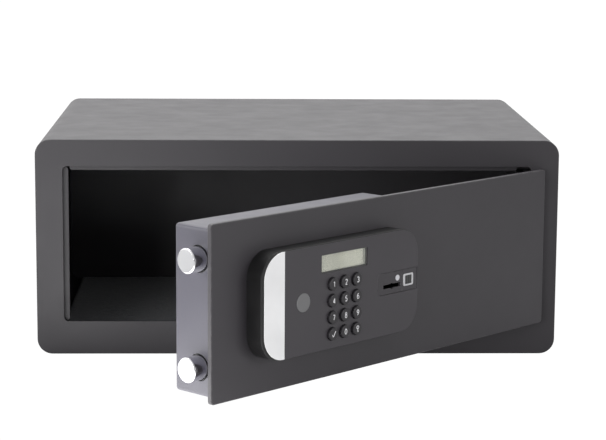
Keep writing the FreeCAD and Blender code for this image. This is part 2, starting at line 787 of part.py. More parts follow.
def involute(angle):
    return math.tan(angle) - angle


def drive_pinion():
    depth0 = BOLT_DEPTH - GEAR_WIDTH / 2
    depth1 = BOLT_DEPTH + GEAR_WIDTH / 2
    gear = extruded_at_depth(pinion_profile(), depth0, depth1)
    shaft = rod(PINION_SHAFT_R, PINION_X, PINION_Z, depth0, depth1 + PINION_SHAFT_REACH)
    return gear.fuse(shaft).removeSplitter()


# drive, boards and batteries

def gearbox_front():
    return BOLT_DEPTH + GEAR_WIDTH / 2 + GEARBOX_GAP


def drive_gearbox():
    half = GEARBOX_SIZE / 2
    depth0 = gearbox_front()
    shape = block(
        PINION_X - half, PINION_X + half, depth0, depth0 + GEARBOX_DEPTH,
        PINION_Z - half, PINION_Z + half)
    bore = rod(
        PINION_SHAFT_R + PLUG_RUN, PINION_X, PINION_Z, depth0,
        depth0 + PINION_SHAFT_REACH)
    return shape.cut(bore)


def drive_motor():
    top = PINION_Z - GEARBOX_SIZE / 2
    y = FRONT_Y + gearbox_front() + GEARBOX_DEPTH / 2
    can = post(MOTOR_R, PINION_X, y, top - MOTOR_LENGTH, top)
    sides = Part.makeBox(
        2 * MOTOR_R, 2 * MOTOR_FLAT, MOTOR_LENGTH,
        FreeCAD.Vector(PINION_X - MOTOR_R, y - MOTOR_FLAT, top - MOTOR_LENGTH))
    return can.common(sides)


def chassis_plate():
    depth1 = CHASSIS_DEPTH + CHASSIS_THICK
    shape = rounded_block(
        CHASSIS_LEFT, CHASSIS_RIGHT, CHASSIS_DEPTH, depth1,
        CHASSIS_BOTTOM, CHASSIS_TOP, DOOR_CORNER_R)
    for x in (CHASSIS_LEFT + STANDOFF_INSET_LEFT, CHASSIS_RIGHT - STANDOFF_INSET):
        for z in (CHASSIS_BOTTOM + STANDOFF_INSET, CHASSIS_TOP - STANDOFF_INSET):
            shape = shape.fuse(rod(STANDOFF_R, x, z, DOOR_THICK, CHASSIS_DEPTH))
    pillar_x = (BOARD_LEFT + PILLAR_INSET, BOARD_RIGHT - PILLAR_INSET_RIGHT)
    pillar_z = (CHASSIS_TOP - PILLAR_DROP, RIBBON_Z + PILLAR_OVER_CABLE)
    for x in pillar_x:
        for z in pillar_z:
            shape = shape.fuse(rod(STANDOFF_R, x, z, depth1, BOARD_DEPTH))
    return shape.removeSplitter().cut(cable_slot(CHASSIS_DEPTH, depth1))


def control_board():
    back = BOARD_DEPTH + BOARD_THICK
    shape = block(BOARD_LEFT, BOARD_RIGHT, BOARD_DEPTH, back, BOARD_BOTTOM, BOARD_TOP)
    middle = (BOARD_LEFT + BOARD_RIGHT) / 2
    z0 = BOARD_TOP - 2 * CHIP_SIZE
    z1 = BOARD_TOP - CHIP_SIZE
    chip = block(middle - CHIP_SIZE, middle, back, back + CHIP_THICK, z0, z1)
    relay = block(middle + CHIP_SIZE / 2, middle + CHIP_SIZE, back, back + RELAY_THICK, z0, z1)
    socket = block(
        BOARD_LEFT + BOARD_MARGIN, BOARD_LEFT + CHIP_SIZE, back, back + SOCKET_THICK,
        BOARD_BOTTOM + BOARD_MARGIN, BOARD_BOTTOM + CHIP_SIZE)
    capacitor = rod(
        CAPACITOR_R, BOARD_RIGHT - CHIP_SIZE, BOARD_BOTTOM + CHIP_SIZE,
        back, back + CAPACITOR_LENGTH)
    return shape.fuse([chip, relay, socket, capacitor]).removeSplitter()


def cell_places():
    rows = (CELL_BOTTOM_Z, CELL_BOTTOM_Z + CELL_PITCH)
    layers = (CELL_FRONT_DEPTH, CELL_FRONT_DEPTH + CELL_PITCH)
    return [(depth, z) for depth in layers for z in rows]


def batteries():
    solids = []
    x0 = CELL_X - CELL_LENGTH / 2
    x1 = CELL_X + CELL_LENGTH / 2
    for depth, z in cell_places():
        can = cross_rod(CELL_R, depth, z, x0, x1 - CELL_NUB)
        nub = cross_rod(CELL_NUB_R, depth, z, x1 - CELL_NUB, x1)
        solids.append(can.fuse(nub).removeSplitter())
    return group(solids)


def tray_bounds():
    half = CELL_LENGTH / 2 + TRAY_CLEAR
    z0 = CELL_BOTTOM_Z - CELL_R - TRAY_CLEAR
    z1 = CELL_BOTTOM_Z + CELL_PITCH + CELL_R + TRAY_CLEAR
    return CELL_X - half, CELL_X + half, z0, z1


def battery_tray():
    x0, x1, z0, z1 = tray_bounds()
    front = CELL_FRONT_DEPTH - CELL_R - TRAY_CLEAR
    outer = block(
        x0 - TRAY_WALL, x1 + TRAY_WALL, front - TRAY_WALL, HOUSING_INNER_BACK,
        z0 - TRAY_WALL, z1 + TRAY_WALL)
    return outer.cut(block(x0, x1, front, HOUSING_INNER_BACK, z0, z1))


def battery_window():
    x0, x1, z0, z1 = tray_bounds()
    return block(x0, x1, HOUSING_INNER_BACK, HOUSING_BACK, z0, z1)


def cover_front():
    return HOUSING_BACK + COVER_RUN


def battery_cover():
    x0, x1, z0, z1 = tray_bounds()
    front = cover_front()
    back = front + COVER_THICK
    lap = COVER_OVERLAP
    shape = block(x0 - lap, x1 + lap, front, back, z0 - lap, z1 + lap)
    tall = (z1 - z0) / 4
    middle = (z0 + z1) / 2
    for number in range(COVER_RIBS):
        x = x1 - (2 * number + 1) * COVER_RIB * 2
        shape = shape.fuse(block(
            x - COVER_RIB, x, back, back + COVER_RIB, middle - tall, middle + tall))
    return shape.removeSplitter()


def cover_rail(z_side, inward):
    x0, x1, z0, z1 = tray_bounds()
    back = cover_front() + COVER_THICK + COVER_RUN
    x2 = x1 + COVER_OVERLAP + COVER_TRAVEL
    inner = z_side - inward * (COVER_OVERLAP + COVER_RUN)
    outer = inner - inward * RAIL_WIDTH
    lip = inner + inward * RAIL_LIP
    wall_z = sorted([inner, outer])
    lip_z = sorted([lip, outer])
    start = x0 - COVER_OVERLAP
    wall = block(start, x2, HOUSING_BACK, back, wall_z[0], wall_z[1])
    top = block(start, x2, back, back + RAIL_LIP_THICK, lip_z[0], lip_z[1])
    return wall.fuse(top).removeSplitter()


def cover_rails():
    x0, x1, z0, z1 = tray_bounds()
    return group([cover_rail(z0, 1), cover_rail(z1, -1)])


def reset_button():
    top = HOUSING_BACK + RESET_PROUD
    seat = HOUSING_INNER_BACK - KEY_FLANGE_GAP
    stem = rod(RESET_R, RESET_X, RESET_Z, seat - RESET_FLANGE, top)
    flange = rod(RESET_FLANGE_R, RESET_X, RESET_Z, seat - RESET_FLANGE, seat)
    stem = stem.makeFillet(KEY_EDGE, edges_at_depth(stem, top))
    return stem.fuse(flange).removeSplitter()


# keypad unit

def unit_outline(depth0, depth1, inset):
    return rounded_block(
        UNIT_LEFT + inset, UNIT_RIGHT - inset, depth0, depth1,
        UNIT_BOTTOM + inset, UNIT_TOP - inset, UNIT_CORNER_R - inset)


def face_outline(depth0, depth1):
    return rounded_block(
        FACE_LEFT, FACE_RIGHT, depth0, depth1, FACE_BOTTOM, FACE_TOP, FACE_CORNER_R)


def keypad_screw_columns():
    return (UNIT_LEFT + UNIT_CORNER_R, (PANEL_LEFT + LCD_X + LCD_WIDTH / 2) / 2)


def keypad_housing():
    rim = -UNIT_PROUD + FACE_PROUD
    shape = unit_outline(rim, 0, 0)
    shape = break_front(shape, rim, UNIT_EDGE)
    shape = shape.cut(face_outline(rim, FACE_BACK))
    cavity = unit_outline(FACE_BACK, -UNIT_BACK, RIM_LEFT + UNIT_WALL)
    shape = shape.cut(cavity)
    shape = shape.cut(rod(LOCK_R + PLUG_RUN, KEYHOLE_X, KEYHOLE_Z, -UNIT_BACK, 0))
    shape = shape.cut(cable_slot(-UNIT_BACK, 0))
    for x in keypad_screw_columns():
        shape = shape.cut(rod(KEYPAD_SCREW_R, x, KEYPAD_SCREW_Z, -UNIT_BACK, 0))
    return shape


def keypad_screws():
    solids = []
    back = DOOR_THICK + KEYPAD_SCREW_HEAD
    for x in keypad_screw_columns():
        shank = rod(KEYPAD_SCREW_R, x, KEYPAD_SCREW_Z, -UNIT_BACK, DOOR_THICK)
        head = rod(KEYPAD_SCREW_HEAD_R, x, KEYPAD_SCREW_Z, DOOR_THICK, back)
        nut = rod(KEYPAD_SCREW_HEAD_R, x, KEYPAD_SCREW_Z, -UNIT_BACK - KEYPAD_NUT, -UNIT_BACK)
        solids.append(shank.fuse([head, nut]).removeSplitter())
    return group(solids)


def key_places():
    places = []
    for row in range(KEY_ROWS):
        for column in range(KEY_COLUMNS):
            places.append((KEY_LEFT_X + column * KEY_PITCH_X, KEY_TOP_Z - row * KEY_PITCH_Z))
    return places


def panel_outline(depth0, depth1, grow):
    x0 = PANEL_LEFT - grow
    x1 = PANEL_RIGHT + grow
    z0 = PANEL_BOTTOM - grow
    z1 = PANEL_TOP + grow
    radius = PANEL_CORNER_R + grow
    shape = rounded_block(x0, x1 + radius, depth0, depth1, z0, z1, radius)
    return shape.common(block(x0, x1, depth0, depth1, z0, z1))


def keypad_face():
    shape = face_outline(-UNIT_PROUD, FACE_BACK)
    shape = shape.cut(block(
        FACE_LEFT, TRIM_RIGHT + TRIM_SEAM, -UNIT_PROUD, FACE_BACK, FACE_BOTTOM, FACE_TOP))
    for x, z in key_places():
        shape = shape.cut(rod(KEY_HOLE_R, x, z, -UNIT_PROUD, FACE_BACK))
    half = LCD_WIDTH / 2
    tall = LCD_HEIGHT / 2
    shape = shape.cut(rounded_block(
        LCD_X - half, LCD_X + half, -UNIT_PROUD, FACE_BACK, LCD_Z - tall, LCD_Z + tall,
        EDGE_BREAK))
    badge_seat = -UNIT_PROUD - BADGE_PROUD + BADGE_THICK
    shape = shape.cut(rod(BADGE_R, BADGE_X, BADGE_Z, -UNIT_PROUD, badge_seat))
    panel_seat = -UNIT_PROUD + PANEL_SHY + PANEL_THICK
    shape = shape.cut(panel_outline(-UNIT_PROUD, panel_seat, PANEL_FIT))
    return shape.cut(keyhole_shape(-UNIT_PROUD, FACE_BACK, 0))


def end_trim():
    shape = face_outline(-UNIT_PROUD, FACE_BACK)
    shape = shape.common(block(
        FACE_LEFT, TRIM_RIGHT, -UNIT_PROUD, FACE_BACK, FACE_BOTTOM, FACE_TOP))
    return break_front(shape, -UNIT_PROUD, BADGE_EDGE)


def badge():
    front = -UNIT_PROUD - BADGE_PROUD
    shape = rod(BADGE_R, BADGE_X, BADGE_Z, front, front + BADGE_THICK)
    return break_front(shape, front, BADGE_EDGE)


def lcd_window():
    half = LCD_WIDTH / 2 - LCD_FIT
    tall = LCD_HEIGHT / 2 - LCD_FIT
    front = -UNIT_PROUD + LCD_WINDOW_SHY
    return rounded_block(
        LCD_X - half, LCD_X + half, front, front + LCD_WINDOW_THICK,
        LCD_Z - tall, LCD_Z + tall, EDGE_BREAK)


def board_front():
    return FACE_BACK + KEY_FLANGE_GAP + KEY_FLANGE + KEY_TRAVEL + KEY_FLANGE_GAP \
        + MAT_SHEET_THICK


def lcd_module():
    half = LCD_WIDTH / 2 + EDGE_BREAK
    tall = LCD_HEIGHT / 2 + EDGE_BREAK
    return block(
        LCD_X - half, LCD_X + half, FACE_BACK, board_front(), LCD_Z - tall, LCD_Z + tall)


def key_mat():
    places = key_places()
    reach = KEY_FLANGE_R + EDGE_BREAK
    return rounded_block(
        places[0][0] - reach, places[-1][0] + reach,
        board_front() - MAT_SHEET_THICK, board_front(),
        places[-1][1] - reach, places[0][1] + KEY_R, DOOR_CORNER_R)


def keypad_board():
    places = key_places()
    reach = KEY_FLANGE_R + EDGE_BREAK
    top = LCD_Z + LCD_HEIGHT / 2 + EDGE_BREAK
    return block(
        LCD_X - LCD_WIDTH / 2 - DOOR_CORNER_R, LCD_X + LCD_WIDTH / 2 + EDGE_BREAK,
        board_front(), board_front() + BOARD_THICK, places[-1][1] - reach, top)


def key_cap(x, z):
    front = -UNIT_PROUD - KEY_PROUD
    seat = FACE_BACK + KEY_FLANGE_GAP
    cap = rod(KEY_R, x, z, front, seat + KEY_FLANGE)
    cap = cap.makeFillet(KEY_EDGE, edges_at_depth(cap, front))
    flange = rod(KEY_FLANGE_R, x, z, seat, seat + KEY_FLANGE)
    return cap.fuse(flange).removeSplitter()


def keyhole_shape(depth0, depth1, grow):
    half = KEYHOLE_LENGTH / 2 + grow
    tall = KEYHOLE_HEIGHT / 2 + grow
    slot = block(
        KEYHOLE_X - half, KEYHOLE_X + half, depth0, depth1,
        KEYHOLE_Z - tall, KEYHOLE_Z + tall)
    eye = rod(KEYHOLE_EYE_R + grow, KEYHOLE_X, KEYHOLE_Z, depth0, depth1)
    return slot.fuse(eye).removeSplitter()


def panel_front():
    return -UNIT_PROUD + PANEL_SHY


def sensor_block(depth0, depth1, side, top):
    half = SENSOR_WIDTH / 2 - side
    tall = SENSOR_HEIGHT / 2 - top
    radius = SENSOR_CORNER_R - top / 2
    return rounded_block(
        SENSOR_X - half, SENSOR_X + half, depth0, depth1,
        SENSOR_Z - tall, SENSOR_Z + tall, radius)


def reader_panel():
    front = panel_front()
    back = front + PANEL_THICK
    shape = panel_outline(front, back, 0)
    shape = break_front(shape, front, BADGE_EDGE)
    shape = shape.cut(keyhole_shape(front, back, 0))
    shape = shape.cut(rod(LAMP_R, LAMP_X, LAMP_Z, front, back))
    shape = shape.cut(sensor_block(front, back, 0, 0))
    seam_x = SENSOR_X - SENSOR_WIDTH / 2 - PANEL_SEAM
    seam = block(
        seam_x - BADGE_EDGE, seam_x + BADGE_EDGE, front, front + BADGE_EDGE,
        PANEL_BOTTOM, PANEL_TOP)
    return shape.cut(seam)


def sensor_bezel():
    front = panel_front() - SENSOR_PROUD
    back = panel_front() + PANEL_THICK
    shape = sensor_block(front, back, 0, 0)
    shape = break_front(shape, front, BADGE_EDGE)
    return shape.cut(sensor_block(front, back, SENSOR_SIDE, SENSOR_TOP))


def fingerprint_sensor():
    front = panel_front()
    return sensor_block(front, front + PANEL_THICK, SENSOR_SIDE, SENSOR_TOP)


def indicator_lens():
    front = panel_front() - LAMP_PROUD
    shape = rod(LAMP_R, LAMP_X, LAMP_Z, front, panel_front() + PANEL_THICK)
    return shape.makeFillet(BADGE_EDGE, edges_at_depth(shape, front))


def lock_front():
    return FACE_BACK + LOCK_FRONT_GAP


def override_lock_body():
    shape = rod(LOCK_R, KEYHOLE_X, KEYHOLE_Z, lock_front(), LOCK_BACK)
    bore = rod(PLUG_R + PLUG_RUN, KEYHOLE_X, KEYHOLE_Z, lock_front(), LOCK_BACK)
    return shape.cut(bore)


def override_plug():
    shape = rod(PLUG_R, KEYHOLE_X, KEYHOLE_Z, lock_front(), LOCK_BACK + CAM_GAP)
    cam = rounded_block(
        KEYHOLE_X - PLUG_R, KEYHOLE_X + CAM_REACH,
        LOCK_BACK + CAM_GAP, LOCK_BACK + CAM_GAP + CAM_THICK,
        KEYHOLE_Z - CAM_WIDTH / 2, KEYHOLE_Z + CAM_WIDTH / 2, CAM_WIDTH / 2 - EDGE_BREAK)
    shape = shape.fuse(cam).removeSplitter()
    slot = keyhole_shape(lock_front(), lock_front() + PLUG_SLOT_DEPTH, KEYWAY_PLAY)
    return shape.cut(slot)


def ribbon_cable():
    start = board_front() + BOARD_THICK
    return block(
        RIBBON_X - RIBBON_WIDTH / 2, RIBBON_X + RIBBON_WIDTH / 2, start, BOARD_DEPTH,
        RIBBON_Z, RIBBON_Z + RIBBON_THICK)


CABINET = {
    "cabinet_wrap": cabinet_wrap(),
    "front_frame": front_frame(),
    "rear_panel": rear_panel(),
    "side_stop": side_stop(),
    "top_stop": top_stop(),
    "bolt_keeper": bolt_keeper(),
    "floor_mat": floor_mat(),
    "upper_hinge_bracket": hinge_bracket(upper_arm_base()),
    "lower_hinge_bracket": hinge_bracket(lower_arm_base()),
    "hinge_pins": hinge_pins(),
}

DOOR = {
    "door_plate": door_plate(),
    "upper_hinge_arm": hinge_arm(upper_arm_base()),
    "lower_hinge_arm": hinge_arm(lower_arm_base()),
    "lock_housing": lock_housing(),
    "housing_posts": housing_posts(),
    "housing_screws": housing_screws(),
    "bolt_guides": bolt_guides(),
    "lower_bolt": lock_bolt(bolt_rows()[0]),
    "upper_bolt": lock_bolt(bolt_rows()[1]),
    "bolt_bar": bolt_bar(),
    "bolt_screws": bolt_screws(),
    "drive_pinion": drive_pinion(),
    "drive_gearbox": drive_gearbox(),
    "drive_motor": drive_motor(),
    "chassis_plate": chassis_plate(),
    "control_board": control_board(),
    "battery_tray": battery_tray(),
    "batteries": batteries(),
    "battery_cover": battery_cover(),
    "cover_rails": cover_rails(),
    "reset_button": reset_button(),
    "keypad_housing": keypad_housing(),
    "keypad_screws": keypad_screws(),
    "keypad_face": keypad_face(),
    "end_trim": end_trim(),
    "badge": badge(),
    "lcd_window": lcd_window(),
    "lcd_module": lcd_module(),
    "key_mat": key_mat(),
    "keypad_board": keypad_board(),
    "reader_panel": reader_panel(),
    "sensor_bezel": sensor_bezel(),
    "fingerprint_sensor": fingerprint_sensor(),
    "indicator_lens": indicator_lens(),
    "override_lock_body": override_lock_body(),
    "override_plug": override_plug(),
    "ribbon_cable": ribbon_cable(),
}

KEY_NAMES = ("1", "2", "3", "4", "5", "6", "7", "8", "9", "enter", "0", "lock")

os.makedirs("parts", exist_ok=True)
for name, shape in CABINET.items():
    export(name, shape)
for name, shape in DOOR.items():
    export(name, hinged(shape))
for name, (x, z) in zip(KEY_NAMES, key_places()):
    export("key_" + name, hinged(key_cap(x, z)))
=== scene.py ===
import json
import math

import bpy
import numpy as np
from mathutils import Matrix, Vector


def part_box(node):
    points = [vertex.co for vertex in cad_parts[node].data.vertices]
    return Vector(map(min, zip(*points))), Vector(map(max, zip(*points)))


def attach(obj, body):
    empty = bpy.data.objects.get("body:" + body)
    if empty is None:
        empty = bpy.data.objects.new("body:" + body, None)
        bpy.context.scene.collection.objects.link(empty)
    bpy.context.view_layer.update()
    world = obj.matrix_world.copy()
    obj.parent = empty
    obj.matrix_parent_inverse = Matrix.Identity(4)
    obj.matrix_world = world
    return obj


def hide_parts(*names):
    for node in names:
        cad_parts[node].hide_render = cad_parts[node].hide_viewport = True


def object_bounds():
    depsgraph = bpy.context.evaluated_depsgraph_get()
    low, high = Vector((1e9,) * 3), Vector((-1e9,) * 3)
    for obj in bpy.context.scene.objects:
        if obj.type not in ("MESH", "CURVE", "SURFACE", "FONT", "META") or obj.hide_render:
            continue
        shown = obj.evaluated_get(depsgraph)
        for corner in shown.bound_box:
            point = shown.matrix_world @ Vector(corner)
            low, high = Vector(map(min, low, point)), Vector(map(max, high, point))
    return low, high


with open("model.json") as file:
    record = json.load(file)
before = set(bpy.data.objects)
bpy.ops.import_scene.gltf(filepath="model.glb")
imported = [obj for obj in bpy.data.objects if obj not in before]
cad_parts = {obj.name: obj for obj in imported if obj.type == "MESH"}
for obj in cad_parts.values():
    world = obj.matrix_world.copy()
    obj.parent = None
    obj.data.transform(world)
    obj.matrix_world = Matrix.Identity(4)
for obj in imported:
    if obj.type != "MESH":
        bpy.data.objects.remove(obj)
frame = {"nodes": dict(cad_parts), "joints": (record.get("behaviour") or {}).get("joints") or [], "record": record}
nodes = frame["nodes"]
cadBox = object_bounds()
millimetre = 0.001
print("stage: frame loaded with", len(nodes), "CAD nodes")


# the door's own axes, as it stands when shut: turn(p) = R(openAngle) (p - hinge) + hinge
hinge = next(j for j in frame["joints"] if j["name"] == "door_swing")
hingePoint = Vector(hinge["pos_m"])
openAngle = -math.radians(hinge["range_deg"][0])
doorTurn = (Matrix.Translation(hingePoint) @ Matrix.Rotation(openAngle, 4, "Z")
            @ Matrix.Translation(-hingePoint))
doorTurnBack = doorTurn.inverted()


def turned(points, matrix):
    # p' = R p + t, for a whole array of points
    turn = np.array(matrix)
    return np.asarray(points, float) @ turn[:3, :3].T + turn[:3, 3]


def meshPoints(node):
    # every vertex of a CAD node, as one array
    mesh = nodes[node].data
    flat = np.empty(len(mesh.vertices) * 3, np.float32)
    mesh.vertices.foreach_get("co", flat)
    return flat.reshape(-1, 3).astype(float)


def doorBox(node):
    # corners of a door piece's box along the shut door's axes
    points = turned(meshPoints(node), doorTurnBack)
    return points.min(0), points.max(0)


def cabinetBox(node):
    # corners of a cabinet piece's box
    low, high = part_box(node)
    return np.array(low), np.array(high)


def addPiece(name, points, faces, body, material, matrix=None):
    # one mesh object at the origin, riding on a body
    if matrix is not None:
        points = turned(points, matrix)
    mesh = bpy.data.meshes.new(name)
    mesh.from_pydata(np.asarray(points, float).tolist(), [], [list(map(int, f)) for f in faces])
    mesh.validate()
    mesh.update()
    mesh.polygons.foreach_set("use_smooth", [True] * len(mesh.polygons))
    mesh.materials.append(material)
    piece = bpy.data.objects.new(name, mesh)
    bpy.context.collection.objects.link(piece)
    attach(piece, body)
    return piece


def gridFaces(rows, columns, closedRows=False, closedColumns=False):
    # quads between neighbouring rows and columns of a grid of points
    row = np.arange(rows if closedRows else rows - 1)
    column = np.arange(columns if closedColumns else columns - 1)
    i, j = np.meshgrid(row, column, indexing="ij")
    nextI, nextJ = (i + 1) % rows, (j + 1) % columns
    quads = [i * columns + j, nextI * columns + j, nextI * columns + nextJ, i * columns + nextJ]
    return np.stack(quads, -1).reshape(-1, 4)


def nodeAdder(owner):
    # a function that adds a node to the owner's tree: sockets by name, or by place as _0, _1
    owner.use_nodes = True
    tree = owner.node_tree
    tree.nodes.clear()

    def add(kind, settings=None, **sockets):
        node = tree.nodes.new("ShaderNode" + kind)
        for key, value in (settings or {}).items():
            setattr(node, key, value)
        for key, value in sockets.items():
            place = int(key[1:]) if key[0] == "_" else key.replace("_", " ")
            socket = node.inputs[place]
            if isinstance(value, bpy.types.NodeSocket):
                tree.links.new(value, socket)
            else:
                socket.default_value = value
        return node

    return add


def newMaterial(name):
    material = bpy.data.materials.new(name)
    return material, nodeAdder(material)


def plainPlace(add):
    # the object's own coordinates
    return add("TexCoord").outputs["Object"]


def doorPlace(add):
    # the shut door's axes: p' = R(-openAngle) (p - hinge) + hinge
    shift = doorTurnBack.translation
    mapping = add("Mapping", Vector=add("TexCoord").outputs["Object"],
                  Location=shift, Rotation=(0, 0, -openAngle))
    return mapping.outputs["Vector"]


def noise(add, place, scale, detail=2.0, roughness=0.5):
    node = add("TexNoise", Vector=place, Scale=scale, Detail=detail, Roughness=roughness)
    return node.outputs["Fac"]


def ranged(add, value, low, high, toLow=0.0, toHigh=1.0):
    # low..high carried to toLow..toHigh, and held there outside
    node = add("MapRange", _0=value, _1=low, _2=high, _3=toLow, _4=toHigh)
    return node.outputs["Result"]


def maths(add, operation, first, second=0.0):
    return add("Math", {"operation": operation}, _0=first, _1=second).outputs[0]


def mixed(add, factor, first, second):
    node = add("Mix", {"data_type": "RGBA"}, _0=factor, _6=first, _7=second)
    return node.outputs[2]


def grey(value, tint=(1.0, 1.0, 1.0)):
    # value times tint, opaque
    return (value * tint[0], value * tint[1], value * tint[2], 1.0)


def edgeMask(add, radius, breakup, low=0.015, high=0.16):
    # 1 where the rounded normal leaves the face normal, broken up by a noise
    bevel = add("Bevel", {"samples": 4}, Radius=radius)
    geometry = add("NewGeometry")
    dot = add("VectorMath", {"operation": "DOT_PRODUCT"},
              _0=bevel.outputs[0], _1=geometry.outputs["Normal"]).outputs["Value"]
    bend = maths(add, "SUBTRACT", 1.0, dot)
    mask = ranged(add, bend, low, high)
    return maths(add, "MULTIPLY", mask, breakup), bevel.outputs[0]


def finishSurface(add, colour, roughness, normal, **uniform):
    shader = add("BsdfPrincipled", Base_Color=colour, Roughness=roughness,
                 Normal=normal, **uniform)
    add("OutputMaterial", Surface=shader.outputs[0])
    return shader


coolGrey = (1.0, 0.91, 1.06)
blueGrey = (1.0, 0.96, 1.24)
warmGrey = (1.0, 1.0, 0.97)

# edge: the pale colour painted on rounded edges, partly wear and partly painted highlight, palest where the part
# is brightly lit
paintLook = {
    "cabinet_paint": dict(level=0.027, tint=coolGrey, rough=0.46, peel=0.05, edge=0.09),
    "door_paint": dict(level=0.034, tint=coolGrey, rough=0.42, peel=0.05, edge=0.22),
    # housing_paint is the door's paint painted about twice as pale: painted light on the brightly lit housing
    "housing_paint": dict(level=0.064, tint=blueGrey, rough=0.36, peel=0.06, edge=0.34),
    "arm_paint": dict(level=0.030, tint=coolGrey, rough=0.42, peel=0.06, edge=0.12),
    "inner_paint": dict(level=0.034, tint=coolGrey, rough=0.55, peel=0.05, edge=0.03),
}
doorSlots = {"door_paint", "housing_paint", "arm_paint"}


def paintMaterial(slotName):
    # powder coat: slow cloud in colour, fine grain in gloss and bump, pale flecks, edges painted pale as wear and
    # painted highlight
    look = paintLook[slotName]
    material, add = newMaterial(slotName)
    place = doorPlace(add) if slotName in doorSlots else plainPlace(add)
    cloud = noise(add, place, 7.0, 4.0)
    patch = noise(add, place, 38.0, 3.0)
    grain = noise(add, place, 1500.0, 2.0)
    fleck = ranged(add, noise(add, place, 2600.0, 1.0), 0.66, 0.74)
    wearAndHighlight, rounded = edgeMask(add, 0.0009, ranged(add, noise(add, place, 160.0, 5.0), 0.38, 0.62))
    base = mixed(add, ranged(add, cloud, 0.3, 0.7), grey(look["level"] * 0.93, look["tint"]),
                 grey(look["level"] * 1.08, look["tint"]))
    base = mixed(add, maths(add, "MULTIPLY", fleck, 0.35), base, grey(look["level"] * 2.6))
    # rounded edges painted pale: partly worn paint, partly a painted highlight
    base = mixed(add, maths(add, "MULTIPLY", wearAndHighlight, 0.55), base, grey(look["edge"], warmGrey))
    rough = maths(add, "ADD", ranged(add, patch, 0.3, 0.7, look["rough"] - 0.035, look["rough"] + 0.035),
                  maths(add, "MULTIPLY", grain, 0.04))
    bump = add("Bump", Height=grain, Strength=look["peel"], Distance=0.0006, Normal=rounded)
    finishSurface(add, base, rough, bump.outputs[0], IOR=1.5)
    return material


# edge: the pale colour painted on rounded edges, partly wear and partly painted highlight; panel_plastic's pale
# edge is a painted highlight on its chamfer
plasticLook = {
    # the unit's paler wall colour toward the leaf is painted shade on its side wall
    "unit_plastic": dict(level=0.002, paintedWallShade=0.004, rough=0.46, grain=1900.0, peel=0.16, edge=0.04),
    "face_plastic": dict(level=0.042, rough=0.36, grain=2400.0, peel=0.05, edge=0.10),
    "panel_plastic": dict(level=0.037, rough=0.34, grain=2400.0, peel=0.05, edge=0.42),
    "key_plastic": dict(level=0.022, rough=0.30, grain=1500.0, peel=0.03, edge=0.08),
    "guide_plastic": dict(level=0.010, rough=0.45, grain=1200.0, peel=0.05, edge=0.02),
    "tray_plastic": dict(level=0.020, rough=0.50, grain=1200.0, peel=0.05, edge=0.03),
    "cover_plastic": dict(level=0.022, rough=0.48, grain=1500.0, peel=0.20, edge=0.05),
    "mat_rubber": dict(level=0.03, rough=0.7, grain=900.0, peel=0.05, edge=0.03),
}


def plasticMaterial(slotName):
    # moulded plastic: faint cloud, smeared gloss, spark-eroded grain, edges painted pale as polish and painted
    # highlight
    look = plasticLook[slotName]
    material, add = newMaterial(slotName)
    place = doorPlace(add)
    cloud = noise(add, place, 14.0, 3.0)
    smear = noise(add, place, 60.0, 4.0)
    grain = noise(add, place, look["grain"], 2.0)
    wearAndHighlight, rounded = edgeMask(add, 0.0005, ranged(add, noise(add, place, 300.0, 4.0), 0.35, 0.6))
    base = mixed(add, ranged(add, cloud, 0.3, 0.7), grey(look["level"] * 0.95, coolGrey),
                 grey(look["level"] * 1.06, coolGrey))
    if slotName == "unit_plastic":
        # painted shade: the side wall is painted paler toward the leaf and darker toward the rim, from rim depth
        # to back depth
        low, high = doorBox("keypad_housing")
        depth = add("SeparateXYZ", Vector=place).outputs["Y"]
        paintedWallShade = ranged(add, depth, low[1] + 0.25 * (high[1] - low[1]), high[1])
        base = mixed(add, paintedWallShade, base, grey(look["paintedWallShade"], coolGrey))
    # rounded edges painted pale: partly polish, partly a painted highlight
    base = mixed(add, maths(add, "MULTIPLY", wearAndHighlight, 0.5), base, grey(look["edge"]))
    rough = ranged(add, smear, 0.3, 0.7, look["rough"] - 0.05, look["rough"] + 0.05)
    bump = add("Bump", Height=grain, Strength=look["peel"], Distance=0.0004, Normal=rounded)
    finishSurface(add, base, rough, bump.outputs[0], IOR=1.5)
    return material


metalLook = {
    "bolt_chrome": dict(colour=(0.86, 0.86, 0.88), rough=0.10, brush=(60, 2600, 2600), depth=0.02),
    "trim_silver": dict(colour=(0.92, 0.92, 0.93), rough=0.42, brush=(2400, 2400, 60), depth=0.05, metal=0.3),
    "badge_silver": dict(colour=(0.19, 0.19, 0.195), rough=0.42, brush=(700, 700, 700), depth=0.05,
                         metal=0.4),
    "bezel_silver": dict(colour=(0.66, 0.66, 0.68), rough=0.34, brush=(900, 900, 900), depth=0.03, metal=0.5),
    "zinc_steel": dict(colour=(0.58, 0.58, 0.60), rough=0.36, brush=(120, 900, 900), depth=0.06),
    "screw_steel": dict(colour=(0.52, 0.52, 0.55), rough=0.30, brush=(500, 500, 500), depth=0.05),
    "pin_steel": dict(colour=(0.55, 0.55, 0.57), rough=0.28, brush=(900, 900, 200), depth=0.05),
    "gear_brass": dict(colour=(0.72, 0.55, 0.27), rough=0.30, brush=(700, 700, 700), depth=0.05),
    "gearbox_metal": dict(colour=(0.55, 0.55, 0.56), rough=0.42, brush=(300, 300, 300), depth=0.08),
    "motor_can": dict(colour=(0.60, 0.60, 0.62), rough=0.30, brush=(900, 900, 80), depth=0.05),
    "lock_metal": dict(colour=(0.50, 0.50, 0.52), rough=0.38, brush=(500, 500, 500), depth=0.06),
    "plug_black": dict(colour=(0.020, 0.020, 0.021), rough=0.45, brush=(600, 600, 600), depth=0.06),
}


